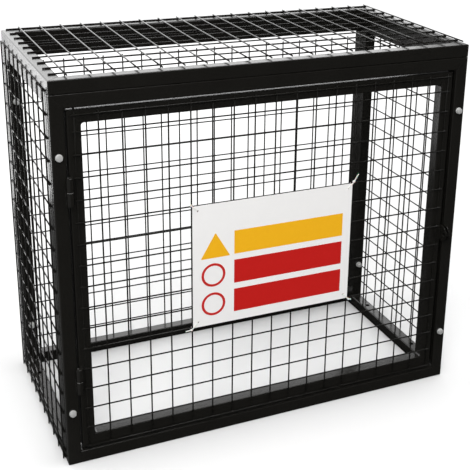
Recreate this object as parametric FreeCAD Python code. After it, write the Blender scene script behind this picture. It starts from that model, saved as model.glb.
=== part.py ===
import FreeCAD, Part
import os

# Gas cylinder cage: flat-packed panels of square steel tube with welded wire mesh,
# bolted together, with one hinged door across the front. Millimetres, +Z up,
# front towards -Y, origin on the floor under the middle of the cage.

V = FreeCAD.Vector
X_AXIS = V(1, 0, 0)
Y_AXIS = V(0, 1, 0)
Z_AXIS = V(0, 0, 1)

# Cage over its tubes
cage_width = 1000.0
cage_depth = 500.0
cage_height = 900.0

# Square tube of every frame
tube = 30.0
tube_wall = 1.5

# Welded mesh: the wire, its spacing, and how far a wire runs past its last crossing
wire = 3.0
mesh_pitch = 50.0
wire_stub = 6.0

# Door: gap to the front frame all round, and how far its mesh stands inside its edges
door_gap = 5.0
door_mesh_side = 15.0
door_mesh_bottom = 4.0
door_mesh_top = 10.0

# Side, back and top mesh: how far the outer wires stand inside or outside their frames
side_mesh_edge = 18.0
side_mesh_bottom = 23.0
side_mesh_top_over = 4.0
side_mesh_foot = 1.0
back_mesh_side = 53.0
back_mesh_bottom = 13.0
back_mesh_top = 10.0
top_mesh_left = 43.0
top_mesh_front = 47.0
top_left_run = 24.0
top_front_run = 30.0

# Floor anchor holes through the side panels' bottom rails
anchor_hole_radius = 6.0
anchor_hole_inset = 97.0

# Lift-off hinges
hinge_radius = 7.0
hinge_half_height = 30.0
hinge_pin_radius = 4.0
hinge_pin_clearance = 0.1
hinge_pin_end_gap = 1.0
hinge_cap = 5.0
hinge_washer_gap = 1.0
hinge_face_gap = 0.5
hinge_tab_thickness = 5.0
hinge_tab_offset = 3.5
hinge_centres = (216.0, 663.0)

# Padlock brackets
lug_thickness = 3.0
lug_height = 40.0
lug_reach = 24.0
lug_hole_radius = 5.0
lug_hole_from_tip = 10.0
lug_inset = 0.5
lug_centre_height = 420.0
door_flange_reach = -11.0
post_flange_reach = 18.0

# Sign plate, with a tie hole near each corner
sign_width = 400.0
sign_height = 300.0
sign_thickness = 1.0
sign_bottom = 289.0
sign_hole_radius = 2.5
sign_hole_inset = 12.0

# Places worked out from the sizes above: the deepest things are the padlock lugs
# in front and the mesh behind, and the origin lies midway between them
mesh_thickness = 2 * wire
y_front = (lug_reach - cage_depth - mesh_thickness) / 2
y_back = y_front + cage_depth
x_left = -cage_width / 2
x_right = cage_width / 2
panel_height = cage_height - tube
side_width = cage_depth - 2 * tube
door_width = cage_width - 2 * tube - 2 * door_gap
door_height = panel_height - 2 * tube - 2 * door_gap
door_bottom = tube + door_gap
door_left = -door_width / 2
door_face = y_front + mesh_thickness
hinge_x = x_left + tube + door_gap / 2
hinge_y = y_front - hinge_face_gap - hinge_radius
lug_tip_y = y_front - lug_reach
lug_hole_y = lug_tip_y + lug_hole_from_tip


def box(x0, x1, y0, y1, z0, z1):
    """Box between two corners."""
    return Part.makeBox(x1 - x0, y1 - y0, z1 - z0, V(x0, y0, z0))


def prism(points, y0, y1):
    """Outline in the XZ plane, extruded from y0 to y1."""
    corners = [V(x, y0, z) for x, z in points]
    outline = Part.makePolygon(corners + [corners[0]])
    return Part.Face(outline).extrude(V(0, y1 - y0, 0))


def mitred_tube(length):
    """Square tube along X, both ends mitred at 45 degrees, its long side at z = 0."""
    def trapezium(inset):
        near = inset
        far = tube - inset
        return [(near, near), (length - near, near), (length - far, far), (far, far)]
    skin = prism(trapezium(0), 0, tube)
    hollow = prism(trapezium(tube_wall), tube_wall, tube - tube_wall)
    return skin.cut(hollow)


def turned(shape, axis, angle, move):
    """Copy of a shape, turned about an axis through the origin and then moved."""
    copy = shape.copy()
    copy.rotate(V(0, 0, 0), axis, angle)
    copy.translate(move)
    return copy


def tube_frame(width, height):
    """Four mitred members, the frame's lower left corner at the origin, front at y = 0."""
    rail = mitred_tube(width)
    post = mitred_tube(height)
    return {
        "bottom": rail,
        "top": turned(rail, Y_AXIS, 180, V(width, 0, height)),
        "left": turned(post, Y_AXIS, 90, V(0, 0, height)),
        "right": turned(post, Y_AXIS, -90, V(width, 0, 0)),
    }


def drilled_rail(rail, length):
    """Bottom rail with its two floor anchor holes, through both walls."""
    for x in (anchor_hole_inset, length - anchor_hole_inset):
        rail = rail.cut(Part.makeCylinder(anchor_hole_radius, tube, V(x, tube / 2, 0), Z_AXIS))
    return rail


def spaced(first, count):
    """Wire places at the mesh pitch."""
    return [first + mesh_pitch * k for k in range(count)]


def count_within(first, limit):
    """How many wires at the mesh pitch fit from the first one up to a limit."""
    return int((limit - first) // mesh_pitch) + 1


def wire_mesh(uprights, levels, x_ends, z_ends, levels_outside=True):
    """Welded mesh in front of y = 0: one set of wires on the frame, the other set on it."""
    half = wire / 2
    upright_y = 0 if levels_outside else -wire
    level_y = -wire if levels_outside else 0
    bars = [box(x - half, x + half, upright_y - wire, upright_y, z_ends[0], z_ends[1])
            for x in uprights]
    bars += [box(x_ends[0], x_ends[1], level_y - wire, level_y, z - half, z + half)
             for z in levels]
    fused = bars[0].multiFuse(bars[1:])
    return fused.removeSplitter().Solids[0]


def hinge_pair(centre_height):
    """Frame half with its pin, and door half with its bore, about the hinge line."""
    split = centre_height - hinge_washer_gap / 2
    low = split - hinge_half_height
    upper_foot = split + hinge_washer_gap
    bore_depth = hinge_half_height - hinge_cap
    pin_top = upper_foot + bore_depth - hinge_pin_end_gap

    axis_foot = V(hinge_x, hinge_y, low)
    barrel = Part.makeCylinder(hinge_radius, hinge_half_height, axis_foot, Z_AXIS)
    pin = Part.makeCylinder(hinge_pin_radius, pin_top - low, axis_foot, Z_AXIS)
    pad = box(hinge_x - hinge_radius, x_left + tube, hinge_y, y_front, low, split)
    frame_half = barrel.fuse(pin).fuse(pad).removeSplitter()

    upper_axis_foot = V(hinge_x, hinge_y, upper_foot)
    upper = Part.makeCylinder(hinge_radius, hinge_half_height, upper_axis_foot, Z_AXIS)
    tab_left = hinge_x + hinge_tab_offset
    tab = box(tab_left, tab_left + hinge_tab_thickness, hinge_y, door_face,
              upper_foot, upper_foot + hinge_half_height)
    bore_radius = hinge_pin_radius + hinge_pin_clearance
    bore = Part.makeCylinder(bore_radius, bore_depth, upper_axis_foot, Z_AXIS)
    door_half = upper.fuse(tab).removeSplitter().cut(bore)
    return frame_half, door_half


def padlock_bracket(lug_x, seat, flange_reach):
    """Angle bracket for a padlock: flange on the frame, rounded lug standing forward."""
    round_radius = lug_height / 2
    low = lug_centre_height - round_radius
    high = lug_centre_height + round_radius
    centre_y = lug_tip_y + round_radius
    flange_x = lug_x + lug_thickness / 2 + flange_reach
    flange = box(min(lug_x, flange_x), max(lug_x + lug_thickness, flange_x),
                 seat - lug_thickness, seat, low, high)
    envelope = box(lug_x, lug_x + lug_thickness, lug_tip_y, seat, low, high)
    slab = box(lug_x, lug_x + lug_thickness, centre_y, seat, low, high)
    nose = Part.makeCylinder(round_radius, lug_thickness, V(lug_x, centre_y, lug_centre_height), X_AXIS)
    hole = Part.makeCylinder(lug_hole_radius, lug_thickness, V(lug_x, lug_hole_y, lug_centre_height), X_AXIS)
    lug = slab.fuse(nose).common(envelope)
    return lug.fuse(flange).removeSplitter().cut(hole)


def drilled_plate():
    """Flat sign plate on the front of the door mesh, a tie hole near each corner."""
    plate = box(-sign_width / 2, sign_width / 2, y_front - sign_thickness, y_front,
                sign_bottom, sign_bottom + sign_height)
    hole_x = sign_width / 2 - sign_hole_inset
    for x in (-hole_x, hole_x):
        for z in (sign_bottom + sign_hole_inset, sign_bottom + sign_height - sign_hole_inset):
            hole = Part.makeCylinder(sign_hole_radius, sign_thickness,
                                     V(x, y_front - sign_thickness, z), Y_AXIS)
            plate = plate.cut(hole)
    return plate


nodes = {}


def place_panel(prefix, shapes, names, spot):
    """Name a panel's pieces and put them where the panel stands."""
    for key, name in names.items():
        piece = shapes[key].copy()
        piece.Placement = spot.multiply(piece.Placement)
        nodes[prefix + name] = piece


# Front frame, round the door
front_names = {"left": "left_post", "right": "right_post",
               "bottom": "bottom_rail", "top": "top_rail"}
front_spot = FreeCAD.Placement(V(x_left, y_front, 0), FreeCAD.Rotation())
place_panel("front_", tube_frame(cage_width, panel_height), front_names, front_spot)

# Side panels stand between the front and back frames, and their mesh laps over both
side_pieces = tube_frame(side_width, panel_height)
side_pieces["bottom"] = drilled_rail(side_pieces["bottom"], side_width)
side_first = side_mesh_edge - tube
side_uprights = spaced(side_first, count_within(side_first, side_width + tube - side_mesh_edge))
side_top_limit = panel_height + side_mesh_top_over
side_levels = spaced(side_mesh_bottom, count_within(side_mesh_bottom, side_top_limit))
side_pieces["mesh"] = wire_mesh(side_uprights, side_levels,
                                (side_uprights[0] - wire_stub, side_uprights[-1] + wire_stub),
                                (side_mesh_foot, side_levels[-1] + wire_stub),
                                levels_outside=False)
left_names = {"left": "back_post", "right": "front_post",
              "bottom": "bottom_rail", "top": "top_rail", "mesh": "mesh"}
right_names = {"left": "front_post", "right": "back_post",
               "bottom": "bottom_rail", "top": "top_rail", "mesh": "mesh"}
left_spot = FreeCAD.Placement(V(x_left, y_back - tube, 0), FreeCAD.Rotation(Z_AXIS, -90))
right_spot = FreeCAD.Placement(V(x_right, y_front + tube, 0), FreeCAD.Rotation(Z_AXIS, 90))
place_panel("left_side_", side_pieces, left_names, left_spot)
place_panel("right_side_", side_pieces, right_names, right_spot)

# Back panel
back_pieces = tube_frame(cage_width, panel_height)
back_uprights = spaced(back_mesh_side, count_within(back_mesh_side, cage_width - back_mesh_side))
back_levels = spaced(back_mesh_bottom, count_within(back_mesh_bottom, panel_height - back_mesh_top))
back_pieces["mesh"] = wire_mesh(back_uprights, back_levels,
                                (back_uprights[0] - wire_stub, back_uprights[-1] + wire_stub),
                                (wire, back_levels[-1] + wire_stub))
back_names = {"left": "right_post", "right": "left_post",
              "bottom": "bottom_rail", "top": "top_rail", "mesh": "mesh"}
back_spot = FreeCAD.Placement(V(x_right, y_back, 0), FreeCAD.Rotation(Z_AXIS, 180))
place_panel("back_", back_pieces, back_names, back_spot)

# Top panel, laid on the four upright panels, its front-to-back wires uppermost
top_pieces = tube_frame(cage_width, cage_depth)
top_across = spaced(top_mesh_left, count_within(top_mesh_left, cage_width))
top_along = spaced(top_mesh_front, count_within(top_mesh_front, cage_depth))
top_pieces["mesh"] = wire_mesh(top_across, top_along,
                               (top_across[0] - top_left_run, top_across[-1] + wire_stub),
                               (top_along[0] - top_front_run, top_along[-1] + wire_stub),
                               levels_outside=False)
top_names = {"left": "left_rail", "right": "right_rail",
             "bottom": "front_rail", "top": "back_rail", "mesh": "mesh"}
top_spot = FreeCAD.Placement(V(x_left, y_front, cage_height), FreeCAD.Rotation(X_AXIS, -90))
place_panel("top_", top_pieces, top_names, top_spot)

# Door: its mesh is flush with the front frame, its tubes stand behind it
door_pieces = tube_frame(door_width, door_height)
door_uprights = spaced(door_mesh_side, count_within(door_mesh_side, door_width - door_mesh_side))
door_top_level = door_height - door_mesh_top
door_levels = spaced(door_mesh_bottom, count_within(door_mesh_bottom, door_top_level - tube))
door_levels.append(door_top_level)
door_pieces["mesh"] = wire_mesh(door_uprights, door_levels,
                                (door_uprights[0] - wire_stub, door_uprights[-1] + wire_stub),
                                (wire / 2, door_top_level + wire_stub))
door_names = {"left": "hinge_stile", "right": "latch_stile",
              "bottom": "bottom_rail", "top": "top_rail", "mesh": "mesh"}
door_spot = FreeCAD.Placement(V(door_left, door_face, door_bottom), FreeCAD.Rotation())
place_panel("door_", door_pieces, door_names, door_spot)

# Hinges, with their pins on the frame so that the door lifts off
for label, height in zip(("lower", "upper"), hinge_centres):
    frame_half, door_half = hinge_pair(height)
    nodes[label + "_hinge_frame_half"] = frame_half
    nodes[label + "_hinge_door_half"] = door_half

# Padlock brackets, one on the door and one on the right post, either side of the gap
door_lug_x = door_left + door_width - lug_inset - lug_thickness
post_lug_x = x_right - tube + lug_inset
nodes["door_padlock_bracket"] = padlock_bracket(door_lug_x, door_face, door_flange_reach)
nodes["post_padlock_bracket"] = padlock_bracket(post_lug_x, y_front, post_flange_reach)

nodes["sign_plate"] = drilled_plate()

os.makedirs("parts", exist_ok=True)
for name, shape in nodes.items():
    shape.exportStep(os.path.join("parts", name + ".step"))
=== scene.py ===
import math
import random

import bmesh
import bpy
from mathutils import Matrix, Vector


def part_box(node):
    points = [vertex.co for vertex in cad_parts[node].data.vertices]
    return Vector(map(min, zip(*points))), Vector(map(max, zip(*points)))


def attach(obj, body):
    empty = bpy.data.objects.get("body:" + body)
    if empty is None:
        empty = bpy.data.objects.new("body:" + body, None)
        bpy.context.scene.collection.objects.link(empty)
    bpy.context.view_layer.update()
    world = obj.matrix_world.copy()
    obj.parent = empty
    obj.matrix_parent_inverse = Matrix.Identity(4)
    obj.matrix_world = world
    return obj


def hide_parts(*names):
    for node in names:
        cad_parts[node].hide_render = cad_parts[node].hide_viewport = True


# Looks for the gas cylinder cage. Metres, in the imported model's frame: +Z up,
# front towards -Y. Places and lengths are read from the solids. The sections of tube,
# wire and hinge, the holes and the mesh pitch repeat the part's own values.
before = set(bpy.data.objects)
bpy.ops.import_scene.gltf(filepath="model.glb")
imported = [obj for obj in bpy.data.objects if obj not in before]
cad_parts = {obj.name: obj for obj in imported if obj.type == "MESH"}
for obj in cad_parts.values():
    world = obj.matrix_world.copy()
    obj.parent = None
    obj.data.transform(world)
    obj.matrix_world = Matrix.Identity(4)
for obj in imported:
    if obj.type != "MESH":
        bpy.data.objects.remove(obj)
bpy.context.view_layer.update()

MM = 0.001
X, Y, Z = 0, 1, 2

# Camera of the photograph: its picture's width and height in pixels, place, turn in
# degrees, focal length and principal point in pixels, and sensor width in millimetres
IMAGE = 470
camera_spot = (-0.8964, -2.1672, 1.4202)
camera_turn = (70.328, -1.492, -25.290)
focal_px = 1002.3
principal_px = (290.1, 165.2)
sensor = 36.0

# Shading and welding of meshes: degrees up to which an edge is smooth, and the distance
# at which two points count as one
smooth_up_to = 35
same_spot = 1e-6

# Tube: section, rings in its rounded corners and ends, and the floor anchors' holes
tube_side = 30.0 * MM
tube_wall = 1.5 * MM
tube_radius = 3.0 * MM
corner_steps = 5
end_rings = (0, 0.2, 0.45, 0.7, 1)
anchor_radius = 6.0 * MM
anchor_inset = 97.0 * MM

# Wire. The round wires are as heavy as the solids' square ones, and so sink a little
# into each other where they are welded
wire_width = 3.0 * MM
wire_round = 1.7 * MM
wire_trim = 0.4 * MM
wire_sides = 10
wire_runs = 6
wire_bow = 0.1 * MM

# Wire that the solids lack: one wire over each side mesh's lower edge, the top mesh's
# reach over its left rail, and the back mesh's over both posts, with one more upright
foot_wire = 6.0 * MM
top_wire_reach = 7.5 * MM
mesh_pitch = 50.0 * MM
back_wire_inset = 15.0 * MM

# Welds: at a wire crossing, where a wire meets a tube, in a frame's inner corners, along
# the ground mitre seams, and as beads of ripples. A spread is a size's least and most share
weld_spread = (0.88, 1.12)
nugget_size = (2.3 * MM, 2.3 * MM, 1.5 * MM)
tack_size = (2.7 * MM, 4.0 * MM, 1.5 * MM)
tack_every = 3
tack_shift = 12.0 * MM
fillet_radius = 6.0 * MM
fillet_spread = (0.86, 1.1)
fillet_root = 0.6 * MM
fillet_rings = 11
fillet_steps = 4
seam_width = 3.2 * MM
seam_height = 0.25 * MM
seam_spread = (0.6, 1.0)
seam_profile = ((-0.5, -0.6), (-0.25, 0.7), (0, 1), (0.25, 0.7), (0.5, -0.6))
seam_rings = 12
ripple_spacing = 2.0 * MM
ripple_stretch = 1.3

# Panel bolts: heights, thread, head, nut and washer. The hexagon's chamfer is its depth
# under the top with the reach there, in halves of the flats: 2 leaves it whole
bolt_heights = (135 * MM, 738 * MM)
bolt_radius = 4.0 * MM
bolt_sides = 20
bolt_flats = 13.0 * MM
bolt_past_nut = 5.0 * MM
thread_pitch = 1.25 * MM
thread_depth = 0.6 * MM
head_height = 5.3 * MM
nut_height = 6.5 * MM
hexagon_points = 24
hexagon_chamfer = ((0.9 * MM, 2), (0.3 * MM, 1.05), (0, 0.92))
washer_radius = 8.0 * MM
washer_height = 1.6 * MM
washer_edge = 0.25 * MM
washer_sink = 0.2 * MM
round_sides = 32

# Hinges and brackets: the barrel, the cap's dome in millimetres as (height, radius), the
# washer as (radius, height) and its bore, and the softened edges of the solids
hinge_radius = 7.0 * MM
hinge_washer_bore = 4.2 * MM
dome_profile = ((0, 6.3), (0.9, 6.1), (1.6, 5.0), (2.1, 3.2), (2.3, 1.0))
dome_sink = 0.4 * MM
hinge_washer = (6.6 * MM, 0.5 * MM)
hinge_washer_gap = 0.1 * MM
edge_softness = 0.6 * MM
edge_segments = 2
edge_angle = 40
flat_angle = 1

# Hinge weld beads: a thin one up the barrel, two on the door half's far edge, and two up
# the frame half behind its barrel, the thick ones with their stand-off from the metal
bead_radius = 1.6 * MM
thin_bead_share = 0.6
thin_bead_back = 3.0 * MM
thin_bead_inset = 2.0 * MM
door_bead_run = 9.0 * MM
door_bead_inset = 3.0 * MM
door_bead_off = 0.4 * MM
frame_bead_shares = ((0.06, 0.4), (0.6, 0.94))
frame_bead_off = (0.2 * MM, 0.4 * MM)

# Sign: corners, edge, tie holes, and its colour panels in millimetres from the plate's
# lower left corner: bands as (left, right, bottom, top)
sign_corner = 5.0 * MM
sign_edge = 0.15 * MM
sign_hole_radius = 2.5 * MM
sign_hole_inset = 12.0 * MM
film_thickness = 0.1 * MM
yellow_band = (100.4, 377.8, 170.2, 227.7)
red_bands = ((100.4, 377.8, 96.8, 155.2), (100.4, 377.8, 23.5, 81.8))
triangle = ((19.0, 168.4), (90.4, 168.4), (54.6, 229.4))
triangle_corner = 4.0
rings_at = ((49.8, 126.0), (49.8, 52.7))
ring_radii = (29.0, 23.0)
ring_sides = 64

# Sign ties: band section and bend; head, with its outline and end profile in shares of
# its size; tail, with its lift off the plate and where and how fast it narrows; and for
# each corner of the plate the way its tail points (right, up) and its length in millimetres
tie_band = (2.5 * MM, 1.0 * MM)
band_corners = ((-0.5, -0.5), (0.5, -0.5), (0.5, 0.5), (-0.5, 0.5))
tie_bend = 2.2 * MM
bend_steps = 4
tie_head = (4.8 * MM, 4.4 * MM, 3.6 * MM)
head_set_back = 1.2 * MM
head_outline = ((-0.5, -0.4), (-0.4, -0.5), (0.4, -0.5), (0.5, -0.4),
                (0.5, 0.4), (0.4, 0.5), (-0.4, 0.5), (-0.5, 0.4))
head_profile = ((-0.5, 0.82), (-0.42, 1), (0.42, 1), (0.5, 0.82))
tail_steps = 8
tail_lift = (1.0 * MM, 2.5 * MM)
tail_taper = (0.8, 1.6)
tie_tails = {(-1, 1): ((-0.6, 0.8), 3.0), (1, 1): ((0.46, 0.89), 21.0),
             (-1, -1): ((-1.0, 0.03), 15.0), (1, -1): ((1.0, -0.1), 6.0)}

# Colours and roughness, as two ends where they vary, and the noise values in between
noise_core = (0.3, 0.7)
coat_blacks = ((0.0066, 0.0062, 0.0052), (0.0094, 0.0089, 0.0076))
coat_dust = (0.024, 0.023, 0.021)
coat_roughness = (0.14, 0.25)
zinc_greys = ((0.66, 0.66, 0.65), (0.86, 0.86, 0.84))
zinc_roughness = (0.28, 0.46)
zinc_metallic = 0.55
plastic_whites = ((0.83, 0.82, 0.81), (0.88, 0.87, 0.86))
plastic_roughness = (0.34, 0.46)
ink_yellows = ((0.84, 0.42, 0.010), (0.88, 0.46, 0.012))
ink_reds = ((0.50, 0.010, 0.008), (0.55, 0.012, 0.010))
ink_roughness = (0.32, 0.42)
nylon_whites = ((0.74, 0.73, 0.69), (0.84, 0.83, 0.80))
nylon_roughness = 0.34
# Near-black painted shade of the sheets that only reflections see
painted_shade_greys = ((0.02, 0.02, 0.02), (0.03, 0.03, 0.03))

# Floor: reach and colour; its glow to the camera far behind the cage, over a stretch of
# Y; and the painted glow that reflections and bounced light see in its place, dim, a
# little brighter behind and brighter to the left, over a stretch of Y times one of X.
# These two are darker than the floor that the camera sees
floor_reach = 30.0
floor_pale = 0.66
floor_glow = ((0.5, 6.0), (0.0, 0.42))
reflected_glow_by_y = ((-0.3, 2.5), (0.1, 0.13))
reflected_glow_by_x = ((-0.4, -0.6), (0.3, 1.6))

# Dark sheets of painted shade that only reflections see, the one behind the camera as a place
# along Y and (half width, height), the overhead one as (height, from Y, to Y)
shade_sheet_y = -4.5
shade_sheet_size = (9.0, 5.0)
overhead_shade_sheet = (3.5, -4.5, 4.5)

# Light: the fill from all round, and the softboxes as name, place, aim, size, watts, and
# whether glossy surfaces show them
world_fill = 1.1
softboxes = (
    ("back_box", (0.2, 3.6, 1.6), (0, 0, 0.45), (5.0, 2.2), 40, True),
    ("left_box", (-3.2, 1.2, 1.4), (0, 0, 0.45), (2.2, 2.2), 30, False),
    ("side_strip", (-1.05, 1.4, 0.4), (-1.05, 0, 0.4), (0.7, 0.8), 3.9, True),
    ("front_fill", (-1.6, -3.2, 3.2), (0, 0, 0.45), (1.8, 1.8), 100, False),
    ("top_box", (0.4, -0.6, 3.4), (0, 0, 0.45), (3.0, 0.8), 40, True),
)

# Seeds of the random draws, one more for each mesh, frame or hinge
mesh_seed = 1
weld_seed = 20
hinge_seed = 40


def unit(axis):
    """Unit vector along an axis."""
    vector = Vector((0, 0, 0))
    vector[axis] = 1
    return vector


# Geometry helpers

def mesh_piece(name, verts, faces, smooth_angle=smooth_up_to):
    """A mesh object from points and faces, with outward normals and soft shading."""
    mesh = bpy.data.meshes.new(name)
    mesh.from_pydata([tuple(v) for v in verts], [], faces)
    form = bmesh.new()
    form.from_mesh(mesh)
    bmesh.ops.recalc_face_normals(form, faces=form.faces)
    form.to_mesh(mesh)
    form.free()
    obj = bpy.data.objects.new(name, mesh)
    bpy.context.scene.collection.objects.link(obj)
    shade(obj, smooth_angle)
    return obj


def shade(obj, smooth_angle=smooth_up_to):
    """Smooth shading, with edges past an angle left sharp."""
    for face in obj.data.polygons:
        face.use_smooth = True
    obj.data.set_sharp_from_angle(angle=math.radians(smooth_angle))


def apply_modifiers(obj):
    """Replace the object's mesh by its evaluated one."""
    graph = bpy.context.evaluated_depsgraph_get()
    mesh = bpy.data.meshes.new_from_object(obj.evaluated_get(graph))
    obj.modifiers.clear()
    obj.data = mesh


def weight_normals(obj):
    """Let large faces lead the normals, so that flat sides stay flat beside rounded edges."""
    lead = obj.modifiers.new("weighted", "WEIGHTED_NORMAL")
    lead.keep_sharp = True
    apply_modifiers(obj)


def finish_piece(obj, body, material, replaced=()):
    """Material, body and replaced nodes of a piece."""
    obj.data.materials.clear()
    obj.data.materials.append(material)
    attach(obj, body)
    if replaced:
        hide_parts(*replaced)


def rounded_square(side, radius, inset=0.0):
    """Corner-rounded square outline, anticlockwise, moved in by an inset."""
    low = inset + radius
    high = inset + side - radius
    points = []
    for number, (u, v) in enumerate(((low, low), (high, low), (high, high), (low, high))):
        for step in range(corner_steps + 1):
            angle = math.radians(180 + 90 * number + 90 * step / corner_steps)
            points.append((u + radius * math.cos(angle), v + radius * math.sin(angle)))
    return points


class Batch:
    """Points and faces of many small forms that become one piece."""

    def __init__(self):
        self.verts = []
        self.faces = []

    def loft(self, rings, closed_ends=True):
        """Skin over rings of equal point count."""
        base = len(self.verts)
        count = len(rings[0])
        for ring in rings:
            self.verts.extend(ring)
        for k in range(len(rings) - 1):
            for i in range(count):
                j = (i + 1) % count
                a = base + k * count
                self.faces.append((a + i, a + j, a + count + j, a + count + i))
        if closed_ends:
            last = base + (len(rings) - 1) * count
            self.faces.append(tuple(base + i for i in reversed(range(count))))
            self.faces.append(tuple(last + i for i in range(count)))

    def lathe(self, foot, axis, profile, sides, closed_ends=True):
        """Turned form along an axis: profile of (distance along, radius)."""
        side_u, side_v = unit((axis + 1) % 3), unit((axis + 2) % 3)
        rings = []
        for along, radius in profile:
            centre = Vector(foot) + unit(axis) * along
            rings.append([centre + side_u * radius * math.cos(t) + side_v * radius * math.sin(t)
                          for t in (2 * math.pi * i / sides for i in range(sides))])
        self.loft(rings, closed_ends)

    def hexagon(self, foot, axis, sense, height):
        """Hexagon across the bolt's flats with its far corners chamfered."""
        side_u, side_v = unit((axis + 1) % 3), unit((axis + 2) % 3)
        half = bolt_flats / 2
        rings = []
        for under, limit in ((height, 2), *hexagon_chamfer):
            ring = []
            for i in range(hexagon_points):
                t = 2 * math.pi * i / hexagon_points
                flat = half / math.cos(t % (math.pi / 3) - math.pi / 6)
                radius = min(flat, half * limit)
                ring.append(Vector(foot) + unit(axis) * sense * (height - under)
                            + side_u * radius * math.cos(t) + side_v * radius * math.sin(t))
            rings.append(ring)
        self.loft(rings)

    def bead(self, start, end, radius, draw):
        """Row of overlapping weld ripples between two points."""
        start, end = Vector(start), Vector(end)
        way = (end - start).normalized()
        side = way.orthogonal().normalized()
        axes = (way, side, way.cross(side))
        count = max(2, int((end - start).length / ripple_spacing))
        for k in range(count + 1):
            size = radius * draw.uniform(*weld_spread)
            centre = start + (end - start) * k / count
            self.blob(centre, (size * ripple_stretch, size, size), axes)

    def blob(self, centre, sizes, axes, sides=8, rows=4):
        """Low ellipsoid with its own three axes."""
        rings = []
        for row in range(1, rows):
            lift = math.cos(math.pi * row / rows)
            reach = math.sin(math.pi * row / rows)
            rings.append([Vector(centre) + axes[2] * sizes[2] * lift
                          + axes[0] * sizes[0] * reach * math.cos(t)
                          + axes[1] * sizes[1] * reach * math.sin(t)
                          for t in (2 * math.pi * i / sides for i in range(sides))])
        self.loft(rings)

    def piece(self, name, smooth_angle=smooth_up_to):
        return mesh_piece(name, self.verts, self.faces, smooth_angle)


# Materials

class Look:
    """A material with its nodes, and short calls for what several materials use."""

    def __init__(self, name):
        self.material = bpy.data.materials.new(name)
        self.material.use_nodes = True
        self.nodes = self.material.node_tree.nodes
        self.links = self.material.node_tree.links
        self.shader = self.nodes["Principled BSDF"]

    def feed(self, socket, source):
        """Drive one of the shader's inputs."""
        self.links.new(source, self.shader.inputs[socket])

    def noise(self, scale, detail=2.0, rough=0.5):
        """Noise over the object's own coordinates."""
        place = self.nodes.new("ShaderNodeTexCoord")
        texture = self.nodes.new("ShaderNodeTexNoise")
        texture.inputs["Scale"].default_value = scale
        texture.inputs["Detail"].default_value = detail
        texture.inputs["Roughness"].default_value = rough
        self.links.new(place.outputs["Object"], texture.inputs["Vector"])
        return texture.outputs["Fac"]

    def ranged(self, source, limits, results, eased=False):
        """A value moved from one range into another, softly at both ends if eased."""
        span = self.nodes.new("ShaderNodeMapRange")
        for socket, value in zip(("From Min", "From Max", "To Min", "To Max"), limits + results):
            span.inputs[socket].default_value = value
        self.links.new(source, span.inputs["Value"])
        if eased:
            span.interpolation_type = "SMOOTHERSTEP"
        return span.outputs["Result"]

    def mixed(self, factor, first, second):
        """Colour between two colours."""
        mix = self.nodes.new("ShaderNodeMix")
        mix.data_type = "RGBA"
        self.links.new(factor, mix.inputs["Factor"])
        for socket, colour in ((mix.inputs[6], first), (mix.inputs[7], second)):
            if isinstance(colour, tuple):
                socket.default_value = (*colour, 1)
            else:
                self.links.new(colour, socket)
        return mix.outputs[2]

    def vary(self, cloud, colours, roughness):
        """Colour and roughness between their ends, by the same noise."""
        self.feed("Base Color", self.mixed(cloud, *colours))
        self.feed("Roughness", self.ranged(cloud, noise_core, roughness))

    def bump(self, height, strength, distance):
        """Surface relief from a height."""
        relief = self.nodes.new("ShaderNodeBump")
        relief.inputs["Strength"].default_value = strength
        relief.inputs["Distance"].default_value = distance
        self.links.new(height, relief.inputs["Height"])
        self.feed("Normal", relief.outputs["Normal"])


def powder_coat():
    """Black gloss powder coat: orange peel, faint rub marks, dust on what faces up."""
    look = Look("black_powder_coat")
    peel = look.noise(scale=700, detail=1.0)
    patches = look.noise(scale=18, detail=3.0)
    rubs = look.noise(scale=90, detail=4.0, rough=0.7)
    look.feed("Roughness", look.ranged(rubs, noise_core, coat_roughness))
    shape = look.nodes.new("ShaderNodeNewGeometry")
    split = look.nodes.new("ShaderNodeSeparateXYZ")
    look.links.new(shape.outputs["Normal"], split.inputs["Vector"])
    faces_up = look.ranged(split.outputs["Z"], (0.6, 1.0), (0.0, 1.0))
    dust = look.nodes.new("ShaderNodeMath")
    dust.operation = "MULTIPLY"
    look.links.new(faces_up, dust.inputs[0])
    look.links.new(look.ranged(rubs, (0.4, 0.75), (0.0, 0.5)), dust.inputs[1])
    base = look.mixed(patches, *coat_blacks)
    look.feed("Base Color", look.mixed(dust.outputs["Value"], base, coat_dust))
    look.bump(peel, strength=0.18, distance=0.4 * MM)
    return look.material


def zinc_plate():
    """Bright zinc plating with faint grey blooms."""
    look = Look("zinc_plating")
    bloom = look.noise(scale=260, detail=3.0)
    grain = look.noise(scale=1500)
    look.shader.inputs["Metallic"].default_value = zinc_metallic
    look.vary(bloom, zinc_greys, zinc_roughness)
    look.bump(grain, strength=0.12, distance=0.2 * MM)
    return look.material


def sign_plastic():
    """White semi-gloss rigid plastic with slight handling marks."""
    look = Look("sign_plastic")
    grain = look.noise(scale=900)
    marks = look.noise(scale=25, detail=4.0, rough=0.65)
    look.vary(marks, plastic_whites, plastic_roughness)
    look.bump(grain, strength=0.08, distance=0.2 * MM)
    return look.material


def printed_ink(name, colours):
    """Screen-printed ink with a slightly uneven lay."""
    look = Look(name)
    lay = look.noise(scale=140, detail=3.0)
    look.vary(lay, colours, ink_roughness)
    look.bump(lay, strength=0.05, distance=0.2 * MM)
    return look.material


def natural_nylon():
    """Milky nylon of the ties."""
    look = Look("natural_nylon")
    cloud = look.noise(scale=300)
    look.feed("Base Color", look.mixed(cloud, *nylon_whites))
    for socket, value in (("Roughness", nylon_roughness), ("Subsurface Weight", 0.25),
                          ("Subsurface Scale", 2 * MM)):
        look.shader.inputs[socket].default_value = value
    look.bump(cloud, strength=0.05, distance=0.2 * MM)
    return look.material


coat = powder_coat()
zinc = zinc_plate()
plastic = sign_plastic()
yellow_ink = printed_ink("yellow_ink", ink_yellows)
red_ink = printed_ink("red_ink", ink_reds)
nylon = natural_nylon()


# Tube frames

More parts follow.
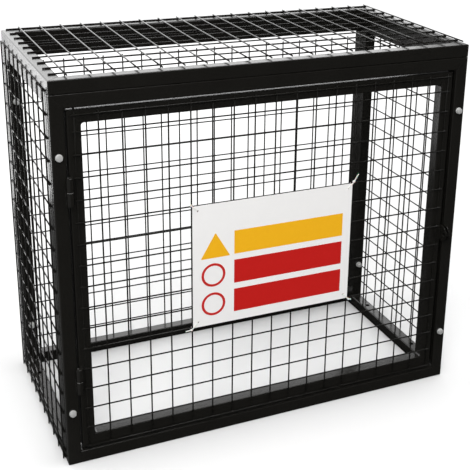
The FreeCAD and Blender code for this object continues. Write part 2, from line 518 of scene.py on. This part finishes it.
# Inward axis and sense of each kind of frame member, from its outer side
INWARD = {
    "left_post": (X, 1), "right_post": (X, -1), "bottom_rail": (Z, 1), "top_rail": (Z, -1),
    "front_post": (Y, 1), "back_post": (Y, -1), "hinge_stile": (X, 1), "latch_stile": (X, -1),
    "left_rail": (X, 1), "right_rail": (X, -1), "front_rail": (Y, 1), "back_rail": (Y, -1),
}
FRAMES = {
    "front": ("left_post", "right_post", "bottom_rail", "top_rail"),
    "back": ("left_post", "right_post", "bottom_rail", "top_rail"),
    "left_side": ("front_post", "back_post", "bottom_rail", "top_rail"),
    "right_side": ("front_post", "back_post", "bottom_rail", "top_rail"),
    "top": ("left_rail", "right_rail", "front_rail", "back_rail"),
    "door": ("hinge_stile", "latch_stile", "bottom_rail", "top_rail"),
}


def body_of(name):
    """Body that a frame or mesh belongs to."""
    return "door" if name.startswith("door") else "cage"


def tube_axes(low, high, member):
    """Axis along a member, its inward axis and sense, and its depth axis."""
    inward, sense = INWARD[member]
    along = max(range(3), key=lambda axis: high[axis] - low[axis])
    depth = 3 - along - inward
    return along, inward, sense, depth


def pulled_in(run, inward):
    """A point near a frame's outer corner, brought onto the corner's rounding."""
    short_run, short_in = tube_radius - run, tube_radius - inward
    reach = math.hypot(short_run, short_in)
    if min(short_run, short_in) <= 0 or reach <= tube_radius:
        return run, inward
    return tube_radius * (1 - short_run / reach), tube_radius * (1 - short_in / reach)


def hollow_tube(node, member):
    """Rounded square tube with mitred ends, in the place of the node's plain one."""
    low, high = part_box(node)
    along, inward, sense, depth = tube_axes(low, high, member)

    def ring(outline, end, run=0.0, rounded=False):
        points = []
        for a, c in outline:
            s = a + run
            if rounded:
                s, a = pulled_in(s, a)
            point = Vector((0, 0, 0))
            point[inward] = low[inward] + a if sense > 0 else high[inward] - a
            point[depth] = low[depth] + c
            point[along] = low[along] + s if end == 0 else high[along] - s
            points.append(point)
        return points

    outer = rounded_square(tube_side, tube_radius)
    inner = rounded_square(tube_side - 2 * tube_wall, tube_radius - tube_wall, tube_wall)
    runs = [tube_radius * share for share in end_rings]
    rings = [ring(outer, 0, run, True) for run in runs]
    rings += [ring(outer, 1, run, True) for run in reversed(runs)]
    rings += [ring(inner, 1), ring(inner, 0), rings[0]]
    batch = Batch()
    batch.loft(rings, closed_ends=False)
    obj = batch.piece(node + "_tube")
    weld_points(obj)
    return obj


def weld_points(obj):
    """Join points that lie on each other."""
    form = bmesh.new()
    form.from_mesh(obj.data)
    bmesh.ops.remove_doubles(form, verts=form.verts, dist=same_spot)
    bmesh.ops.recalc_face_normals(form, faces=form.faces)
    form.to_mesh(obj.data)
    form.free()


def drill(obj, centres, radius, axis):
    """Cut round holes through a piece, from a tube's side before each centre to two past it."""
    batch = Batch()
    for centre in centres:
        foot = Vector(centre) - unit(axis) * tube_side
        batch.lathe(foot, axis, ((0, radius), (3 * tube_side, radius)), round_sides)
    cutter = batch.piece("cutter")
    cut = obj.modifiers.new("holes", "BOOLEAN")
    cut.object = cutter
    cut.solver = "EXACT"
    apply_modifiers(obj)
    bpy.data.objects.remove(cutter)
    shade(obj)


def build_tubes():
    """The tubes of every frame, with the floor anchors' holes in the side panels' feet."""
    for name, members in FRAMES.items():
        for member in members:
            node = name + "_" + member
            obj = hollow_tube(node, member)
            if name.endswith("side") and member == "bottom_rail":
                low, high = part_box(node)
                middle = (low + high) / 2
                spots = [(middle.x, y, low.z) for y in (low.y + anchor_inset, high.y - anchor_inset)]
                drill(obj, spots, anchor_radius, Z)
            weight_normals(obj)
            finish_piece(obj, body_of(name), coat, (node,))


# Welded mesh

# For each mesh: its first wires' axis, its second wires' axis, and the depth sense
# in which the first wires lie
MESHES = {
    "door_mesh": (X, Z, Y, -1),
    "back_mesh": (X, Z, Y, 1),
    "left_side_mesh": (Z, Y, X, -1),
    "right_side_mesh": (Z, Y, X, 1),
    "top_mesh": (Y, X, Z, 1),
}


def wire_centres(node, axis):
    """Centres of the wires spaced along an axis: pairs of corner values one wire apart."""
    values = sorted({round(v.co[axis] / MM, 2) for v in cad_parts[node].data.vertices})
    pairs = [(a, b) for a in values for b in values if abs(b - a - wire_width / MM) < 0.02]
    return [(a + b) / 2 * MM for a, b in pairs]


def wire(batch, start, end, along, draw):
    """Round wire with cut ends, very slightly out of true."""
    side_u, side_v = unit((along + 1) % 3), unit((along + 2) % 3)
    length = end[along] - start[along]
    phases = [draw.uniform(0, 2 * math.pi) for _ in range(2)]
    bows = [draw.uniform(-wire_bow, wire_bow) for _ in range(2)]
    whole = length - 2 * wire_trim
    spots = [(0.0, wire_round - wire_trim)]
    spots += [(wire_trim + whole * k / wire_runs, wire_round) for k in range(wire_runs + 1)]
    spots += [(length, wire_round - wire_trim)]
    rings = []
    for distance, size in spots:
        t = math.pi * distance / length
        centre = Vector(start) + unit(along) * distance
        centre += side_u * bows[0] * math.sin(2 * t + phases[0])
        centre += side_v * bows[1] * math.sin(2 * t + phases[1])
        rings.append([centre + side_u * size * math.cos(a) + side_v * size * math.sin(a)
                      for a in (2 * math.pi * (i + 0.5) / wire_sides for i in range(wire_sides))])
    batch.loft(rings)


def build_mesh(node, seed):
    """Two layers of round wires, a weld at each crossing and tacks where they meet the frame."""
    first, second, depth, sense = MESHES[node]
    low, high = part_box(node)
    draw = random.Random(seed)
    outer = high[depth] - wire_width / 2 if sense > 0 else low[depth] + wire_width / 2
    inner = outer - sense * wire_width
    batch = Batch()
    first_spots = wire_centres(node, second)
    second_spots = wire_centres(node, first)
    if node.endswith("side_mesh"):
        second_spots.insert(0, low[first] + foot_wire)
    if node == "back_mesh":
        second_spots.insert(0, second_spots[0] - mesh_pitch)
        low[first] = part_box("back_left_post")[0][first] + back_wire_inset
        high[first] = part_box("back_right_post")[1][first] - back_wire_inset
    for axis, across, level, spots in ((first, second, outer, first_spots),
                                       (second, first, inner, second_spots)):
        for spot in spots:
            start, end = Vector((0, 0, 0)), Vector((0, 0, 0))
            for point, limit in ((start, low), (end, high)):
                point[depth] = level
                point[across] = spot
                point[axis] = limit[axis]
            if node == "top_mesh" and axis == X:
                start.x -= top_wire_reach
            wire(batch, start, end, axis, draw)
    axes = (unit(first), unit(second), unit(depth))
    for a in second_spots:
        for b in first_spots:
            centre = Vector((0, 0, 0))
            centre[first], centre[second], centre[depth] = a, b, (outer + inner) / 2
            grow = draw.uniform(*weld_spread)
            batch.blob(centre, [size * grow for size in nugget_size], axes)
    face = inner - sense * wire_width / 2
    add_tacks(batch, node, second_spots, first_spots, axes, face)
    obj = batch.piece(node + "_wires", smooth_angle=50)
    finish_piece(obj, body_of(node), coat, (node,))


def add_tacks(batch, node, spots, crossings, axes, face):
    """Welds that hold the inner wires to their frame, on every few wires."""
    first, second, depth = [max(range(3), key=lambda k: axis[k]) for axis in axes]
    frame_name = node[:-len("_mesh")]

    def tack(across, along):
        centre = Vector((0, 0, 0))
        centre[first], centre[second], centre[depth] = across, along, face
        batch.blob(centre, tack_size, axes)

    for member in FRAMES[frame_name]:
        low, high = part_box(frame_name + "_" + member)
        middle = (low + high) / 2
        if tube_axes(low, high, member)[0] == first:
            for spot in spots[1::tack_every]:
                tack(spot, middle[second])
        else:
            for spot in spots:
                if low[first] < spot < high[first]:
                    for crossing in crossings[1::tack_every]:
                        tack(spot, crossing + tack_shift)


# Frame welds

def frame_box(name):
    boxes = [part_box(name + "_" + member) for member in FRAMES[name]]
    low = Vector([min(box[0][axis] for box in boxes) for axis in range(3)])
    high = Vector([max(box[1][axis] for box in boxes) for axis in range(3)])
    return low, high


def ring_places(count):
    """Distances of a row of rings from a tube's one rounded edge to the other."""
    flat_side = tube_side - 2 * tube_radius
    return [tube_radius + flat_side * k / (count - 1) for k in range(count)]


def add_fillet(batch, corner, way_u, way_v, depth, level, draw):
    """Weld in a frame's inner corner, through the frame's depth from a level."""
    inner = corner + (way_u + way_v) * tube_side
    rings = []
    for distance in ring_places(fillet_rings):
        radius = fillet_radius * draw.uniform(*fillet_spread)
        at = inner + unit(depth) * (level + distance)
        ring = [at - (way_u + way_v) * fillet_root]
        for step in range(fillet_steps + 1):
            t = -math.pi / 2 - math.pi / 2 * step / fillet_steps
            ring.append(at + way_u * radius * (1 + math.cos(t)) + way_v * radius * (1 + math.sin(t)))
        rings.append(ring)
    batch.loft(rings)


def add_seam(batch, corner, way_u, way_v, depth, level, lift, draw):
    """Low bead along a mitre, on the frame's face at a level."""
    side = (way_u - way_v).normalized()
    rings = []
    for distance in ring_places(seam_rings):
        at = corner + (way_u + way_v) * distance
        at[depth] = level
        height = seam_height * draw.uniform(*seam_spread)
        rings.append([at + side * seam_width * across + unit(depth) * lift * height * rise
                      for across, rise in seam_profile])
    batch.loft(rings)


def build_frame_welds(name, seed):
    """A fillet in each inner corner, and a ground seam along each mitre, both faces."""
    low, high = frame_box(name)
    draw = random.Random(seed)
    depth = min(range(3), key=lambda axis: high[axis] - low[axis])
    flat = [axis for axis in range(3) if axis != depth]
    batch = Batch()
    for sense_u in (1, -1):
        for sense_v in (1, -1):
            way_u, way_v = unit(flat[0]) * sense_u, unit(flat[1]) * sense_v
            corner = Vector((0, 0, 0))
            for axis, sense in zip(flat, (sense_u, sense_v)):
                corner[axis] = low[axis] if sense > 0 else high[axis]
            add_fillet(batch, corner, way_u, way_v, depth, low[depth], draw)
            for level, lift in ((low[depth], -1), (high[depth], 1)):
                add_seam(batch, corner, way_u, way_v, depth, level, lift, draw)
    finish_piece(batch.piece(name + "_welds", smooth_angle=60), body_of(name), coat)


# Hinges, brackets and bolts

def softened(node, body):
    """Copy of a coated node with its edges rounded, in the node's place."""
    obj = bpy.data.objects.new(node + "_soft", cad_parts[node].data.copy())
    bpy.context.scene.collection.objects.link(obj)
    form = bmesh.new()
    form.from_mesh(obj.data)
    bmesh.ops.remove_doubles(form, verts=form.verts, dist=same_spot)
    bmesh.ops.dissolve_limit(form, angle_limit=math.radians(flat_angle), verts=form.verts,
                             edges=form.edges)
    form.to_mesh(obj.data)
    form.free()
    bevel = obj.modifiers.new("edges", "BEVEL")
    bevel.width = edge_softness
    bevel.segments = edge_segments
    bevel.limit_method = "ANGLE"
    bevel.angle_limit = math.radians(edge_angle)
    apply_modifiers(obj)
    shade(obj, edge_angle)
    weight_normals(obj)
    finish_piece(obj, body, coat, (node,))


def build_hinge(label, seed):
    """Softened halves, the cap's dome, the washer between them and their weld beads."""
    draw = random.Random(seed)
    softened(label + "_hinge_frame_half", "cage")
    softened(label + "_hinge_door_half", "door")
    low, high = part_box(label + "_hinge_door_half")
    frame_low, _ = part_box(label + "_hinge_frame_half")
    axis_x, axis_y = low.x + hinge_radius, low.y + hinge_radius

    cap = Batch()
    cap.lathe((axis_x, axis_y, high.z - dome_sink), Z,
              [(along * MM, radius * MM) for along, radius in dome_profile], round_sides)
    thin_y = axis_y + thin_bead_back
    cap.bead((high.x, thin_y, low.z + thin_bead_inset), (high.x, thin_y, high.z - thin_bead_inset),
             bead_radius * thin_bead_share, draw)
    door_x = high.x + door_bead_off
    for foot in (low.z + door_bead_inset, high.z - door_bead_inset - door_bead_run):
        cap.bead((door_x, high.y, foot), (door_x, high.y, foot + door_bead_run), bead_radius, draw)
    finish_piece(cap.piece(label + "_hinge_cap", smooth_angle=50), "door", coat)

    outer, height = hinge_washer
    ring = Batch()
    ring.lathe((axis_x, axis_y, low.z - height - hinge_washer_gap), Z,
               ((0, hinge_washer_bore), (0, outer), (height, outer), (height, hinge_washer_bore),
                (0, hinge_washer_bore)), round_sides, closed_ends=False)
    washer = ring.piece(label + "_hinge_washer", smooth_angle=40)
    weld_points(washer)
    finish_piece(washer, "cage", zinc)

    weld = Batch()
    frame_x = frame_low.x + frame_bead_off[0]
    frame_y = axis_y + hinge_radius + frame_bead_off[1]
    span = low.z - frame_low.z
    for start, end in frame_bead_shares:
        weld.bead((frame_x, frame_y, frame_low.z + span * start),
                  (frame_x, frame_y, frame_low.z + span * end), bead_radius, draw)
    finish_piece(weld.piece(label + "_hinge_weld", smooth_angle=50), "cage", coat)


def build_bolt(number, x, z, face, sense):
    """Hexagon bolt through two posts: sense is the way that its head faces along Y."""
    foot = Vector((x, face, z))
    far = foot - unit(Y) * sense * 2 * tube_side
    batch = Batch()
    eased = washer_radius - washer_edge
    washer = ((-washer_sink, eased), (washer_edge, washer_radius),
              (washer_height - washer_edge, washer_radius), (washer_height, eased))
    for start, way in ((foot, sense), (far, -sense)):
        batch.lathe(start, Y, [(way * along, radius) for along, radius in washer], round_sides)
    batch.hexagon(foot + unit(Y) * sense * washer_height, Y, sense, head_height)
    batch.hexagon(far - unit(Y) * sense * washer_height, Y, -sense, nut_height)
    past = washer_height + nut_height
    thread_root = bolt_radius - thread_depth
    turns = int(bolt_past_nut / thread_pitch)
    profile = [(past - MM, bolt_radius)]
    for k in range(turns):
        profile += [(past + thread_pitch * k, bolt_radius),
                    (past + thread_pitch * (k + 0.5), thread_root)]
    profile += [(past + thread_pitch * turns, bolt_radius), (past + bolt_past_nut, thread_root)]
    batch.lathe(far, Y, [(-sense * along, radius) for along, radius in profile], bolt_sides)
    finish_piece(batch.piece("panel_bolt_%d" % number, smooth_angle=30), "cage", zinc)


def build_bolts():
    """Bolts from the front and from the back, at each height of both outer posts."""
    number = 1
    front_low, front_high = frame_box("front")
    _, back_high = frame_box("back")
    for x in (front_low.x + tube_side / 2, front_high.x - tube_side / 2):
        for z in bolt_heights:
            for face, sense in ((front_low.y, -1), (back_high.y, 1)):
                build_bolt(number, x, z, face, sense)
                number += 1


# Sign and its ties

def rounded_polygon(points, radius, steps=5):
    """Outline of straight sides with eased corners."""
    outline = []
    for i, point in enumerate(points):
        here = Vector((*point, 0))
        before = (Vector((*points[i - 1], 0)) - here).normalized() * radius
        after = (Vector((*points[(i + 1) % len(points)], 0)) - here).normalized() * radius
        for k in range(steps + 1):
            t = k / steps
            spot = here + before * (1 - t) ** 2 + after * t ** 2
            outline.append((spot.x, spot.y))
    return outline


def build_sign():
    """Plate with rounded corners and tie holes, and thin panels of ink on its face."""
    low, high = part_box("sign_plate")
    width, height = high.x - low.x, high.z - low.z
    ink_span = (low.y + film_thickness, low.y - film_thickness)

    def ring(outline, y, inset=0.0):
        centre_u, centre_v = width / 2, height / 2
        return [Vector((low.x + u - math.copysign(inset, u - centre_u), y,
                        low.z + v - math.copysign(inset, v - centre_v))) for u, v in outline]

    outline = rounded_polygon(((0, 0), (width, 0), (width, height), (0, height)), sign_corner)
    plate = Batch()
    plate.loft([ring(outline, low.y, sign_edge), ring(outline, low.y + sign_edge),
                ring(outline, high.y - sign_edge), ring(outline, high.y, sign_edge)])
    obj = plate.piece("sign_plate_sheet", smooth_angle=30)
    holes = [(x, low.y, z) for x in (low.x + sign_hole_inset, high.x - sign_hole_inset)
             for z in (low.z + sign_hole_inset, high.z - sign_hole_inset)]
    drill(obj, holes, sign_hole_radius, Y)
    finish_piece(obj, "door", plastic, ("sign_plate",))

    def spot(u, v, y):
        return Vector((low.x + u * MM, y, low.z + v * MM))

    def film(batch, points):
        batch.loft([[spot(u, v, y) for u, v in points] for y in ink_span])

    def band(batch, left, right, bottom, top):
        film(batch, ((left, bottom), (right, bottom), (right, top), (left, top)))

    yellow = Batch()
    band(yellow, *yellow_band)
    film(yellow, rounded_polygon(triangle, triangle_corner))
    finish_piece(yellow.piece("sign_yellow_ink", smooth_angle=30), "door", yellow_ink)
    red = Batch()
    for sides in red_bands:
        band(red, *sides)
    outer, inner = ring_radii
    back, front = ink_span
    turns = [2 * math.pi * i / ring_sides for i in range(ring_sides)]
    for centre_u, centre_v in rings_at:
        red.loft([[spot(centre_u + radius * math.cos(t), centre_v + radius * math.sin(t), y)
                   for t in turns]
                  for radius, y in ((outer, back), (outer, front), (inner, front), (inner, back),
                                    (outer, back))], closed_ends=False)
    obj = red.piece("sign_red_ink", smooth_angle=30)
    weld_points(obj)
    finish_piece(obj, "door", red_ink)
    build_ties(low, high)


def add_tie_loop(batch, hole, out, front, back, reach):
    """Flat band from the plate's hole out past the wires, round behind them and home."""
    band_width, band_thick = tie_band
    across = out.cross(unit(Y))
    path = rounded_polygon(((0, front), (reach, front), (reach, back), (0, back)), tie_bend,
                           bend_steps)
    rings = []
    for i, (u, y) in enumerate(path):
        before, after = Vector(path[i - 1]), Vector(path[(i + 1) % len(path)])
        way = (after - before).normalized()
        normal = Vector((way.y, -way.x))
        ring = []
        for side, lift in band_corners:
            at = Vector((u, y)) + normal * band_thick * lift
            ring.append(hole + out * at.x + unit(Y) * at.y + across * band_width * side)
        rings.append(ring)
    batch.loft(rings + [rings[0]], closed_ends=False)


def add_tie_head(batch, head, out):
    """Small block that the band locks into, with its corners cut and its ends eased."""
    across = out.cross(unit(Y))
    long, wide, thick = tie_head
    batch.loft([[head + out * thick * along + across * wide * a * share + unit(Y) * long * b * share
                 for a, b in head_outline] for along, share in head_profile])


def add_tie_tail(batch, head, tail_way, tail_length):
    """Free end of the band, which lifts off the plate and narrows to its tip."""
    band_width, band_thick = tie_band
    near, rise = tail_lift
    narrow_from, narrowing = tail_taper
    way = Vector((tail_way[0], 0, tail_way[1])).normalized()
    flat = way.cross(unit(Y))
    rings = []
    for k in range(tail_steps + 1):
        t = k / tail_steps
        at = head + way * tail_length * MM * t - unit(Y) * (near + rise * t * t)
        width = band_width * (1 - narrowing * max(0, t - narrow_from))
        rings.append([at + flat * width * side + unit(Y) * band_thick * lift
                      for side, lift in band_corners])
    batch.loft(rings)


def build_ties(low, high):
    """Nylon ties from each hole of the plate round the wire crossing at its corner."""
    band_thick = tie_band[1]
    front = low.y - band_thick / 2
    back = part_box("door_mesh")[1].y + band_thick / 2
    reach = sign_hole_inset * math.sqrt(2) + wire_width + band_thick
    for number, ((side_x, side_z), (tail_way, tail_length)) in enumerate(tie_tails.items()):
        hole = Vector((low.x + sign_hole_inset if side_x < 0 else high.x - sign_hole_inset, 0,
                       low.z + sign_hole_inset if side_z < 0 else high.z - sign_hole_inset))
        out = Vector((side_x, 0, side_z)).normalized()
        head = hole + out * (reach + tie_head[2] / 2) + unit(Y) * (front + head_set_back)
        batch = Batch()
        add_tie_loop(batch, hole, out, front, back, reach)
        add_tie_head(batch, head, out)
        add_tie_tail(batch, head, tail_way, tail_length)
        obj = batch.piece("sign_tie_%d" % (number + 1), smooth_angle=45)
        weld_points(obj)
        finish_piece(obj, "door", nylon)


# Floor, light and camera

def flat_sheet(name, corners, material):
    """Stage sheet from its corners."""
    mesh = bpy.data.meshes.new(name)
    mesh.from_pydata(corners, [], [(0, 1, 2, 3)])
    mesh.materials.append(material)
    sheet = bpy.data.objects.new(name, mesh)
    bpy.context.scene.collection.objects.link(sheet)
    return sheet


def floor_look():
    """Pale to the camera, with the object's shadow; a dim painted glow, brighter to the left, to
    reflections and bounced light.
    """
    look = Look("floor")
    nodes, links = look.nodes, look.links
    nodes.remove(look.shader)
    rays = nodes.new("ShaderNodeLightPath")
    place = nodes.new("ShaderNodeTexCoord")
    split = nodes.new("ShaderNodeSeparateXYZ")
    links.new(place.outputs["Object"], split.inputs["Vector"])
    # Painted glow that reflections and bounced light see instead of the floor: dim, a little
    # brighter behind, brighter to the left
    level = nodes.new("ShaderNodeMath")
    level.operation = "MULTIPLY"
    links.new(look.ranged(split.outputs["Y"], *reflected_glow_by_y, eased=True), level.inputs[0])
    links.new(look.ranged(split.outputs["X"], *reflected_glow_by_x, eased=True), level.inputs[1])
    painted_floor_glow = nodes.new("ShaderNodeEmission")
    links.new(level.outputs["Value"], painted_floor_glow.inputs["Strength"])
    pale = nodes.new("ShaderNodeBsdfDiffuse")
    pale.inputs["Color"].default_value = (*(floor_pale,) * 3, 1)
    glow = nodes.new("ShaderNodeEmission")
    links.new(look.ranged(split.outputs["Y"], *floor_glow), glow.inputs["Strength"])
    bright = nodes.new("ShaderNodeAddShader")
    links.new(pale.outputs[0], bright.inputs[0])
    links.new(glow.outputs[0], bright.inputs[1])
    choose = nodes.new("ShaderNodeMixShader")
    links.new(rays.outputs["Is Camera Ray"], choose.inputs[0])
    links.new(painted_floor_glow.outputs[0], choose.inputs[1])
    links.new(bright.outputs[0], choose.inputs[2])
    links.new(choose.outputs[0], nodes["Material Output"].inputs["Surface"])
    return look.material


def painted_shade_look():
    """Near-black, dull painted shade of the sheets that only reflections see."""
    look = Look("painted_shade_sheet")
    look.feed("Base Color", look.mixed(look.noise(scale=40), *painted_shade_greys))
    look.shader.inputs["Roughness"].default_value = 1.0
    return look.material


def build_stage():
    """The floor, and two dark sheets of painted shade for reflections alone: behind the camera and
    overhead.
    """
    flat_sheet("floor", [(-floor_reach, -floor_reach, 0), (floor_reach, -floor_reach, 0),
                         (floor_reach, floor_reach, 0), (-floor_reach, floor_reach, 0)],
               floor_look())
    shade_sheet_look = painted_shade_look()
    wide, tall = shade_sheet_size
    level, near, far = overhead_shade_sheet
    for name, corners in (
            ("painted_shade_sheet", [(-wide, shade_sheet_y, 0), (wide, shade_sheet_y, 0),
                         (wide, shade_sheet_y, tall), (-wide, shade_sheet_y, tall)]),
            ("overhead_shade_sheet", [(-wide, near, level), (wide, near, level),
                         (wide, far, level), (-wide, far, level)])):
        sheet = flat_sheet(name, corners, shade_sheet_look)
        sheet.visible_camera = False
        sheet.visible_diffuse = False
        sheet.visible_shadow = False


def build_world():
    """White to the camera and to reflections, a soft even fill otherwise."""
    world = bpy.data.worlds.new("studio")
    world.use_nodes = True
    nodes, links = world.node_tree.nodes, world.node_tree.links
    rays = nodes.new("ShaderNodeLightPath")
    seen = nodes.new("ShaderNodeMath")
    seen.operation = "MAXIMUM"
    links.new(rays.outputs["Is Camera Ray"], seen.inputs[0])
    links.new(rays.outputs["Is Transmission Ray"], seen.inputs[1])
    shown = nodes.new("ShaderNodeMath")
    shown.operation = "MAXIMUM"
    links.new(seen.outputs[0], shown.inputs[0])
    links.new(rays.outputs["Is Glossy Ray"], shown.inputs[1])
    fill, white = nodes["Background"], nodes.new("ShaderNodeBackground")
    fill.inputs["Color"].default_value = (*(world_fill,) * 3, 1)
    white.inputs["Color"].default_value = (1, 1, 1, 1)
    choose = nodes.new("ShaderNodeMixShader")
    links.new(shown.outputs[0], choose.inputs[0])
    links.new(fill.outputs[0], choose.inputs[1])
    links.new(white.outputs[0], choose.inputs[2])
    links.new(choose.outputs[0], nodes["World Output"].inputs["Surface"])
    bpy.context.scene.world = world


def softbox(name, spot, target, size, power, mirrored):
    """Area light aimed at a point; mirrored says whether glossy surfaces show it."""
    light = bpy.data.lights.new(name, "AREA")
    light.shape = "RECTANGLE"
    light.size, light.size_y = size
    light.energy = power
    obj = bpy.data.objects.new(name, light)
    bpy.context.scene.collection.objects.link(obj)
    obj.location = spot
    obj.rotation_euler = (Vector(target) - Vector(spot)).to_track_quat("-Z", "Y").to_euler()
    obj.visible_camera = False
    obj.visible_glossy = mirrored


def build_lights():
    for settings in softboxes:
        softbox(*settings)


def build_camera():
    data = bpy.data.cameras.new("camera")
    data.sensor_width = sensor
    data.lens = focal_px * sensor / IMAGE
    data.shift_x = (IMAGE / 2 - principal_px[0]) / IMAGE
    data.shift_y = (principal_px[1] - IMAGE / 2) / IMAGE
    data.clip_end = 100
    camera = bpy.data.objects.new("camera", data)
    bpy.context.scene.collection.objects.link(camera)
    camera.location = camera_spot
    camera.rotation_euler = [math.radians(angle) for angle in camera_turn]
    bpy.context.scene.camera = camera


build_camera()
build_stage()
build_world()
build_lights()
build_tubes()
for number, mesh_node in enumerate(MESHES):
    build_mesh(mesh_node, mesh_seed + number)
for number, name in enumerate(FRAMES):
    build_frame_welds(name, weld_seed + number)
for number, label in enumerate(("lower", "upper")):
    build_hinge(label, hinge_seed + number)
softened("door_padlock_bracket", "door")
softened("post_padlock_bracket", "cage")
build_bolts()
build_sign()

bpy.context.scene.view_settings.view_transform = "Standard"
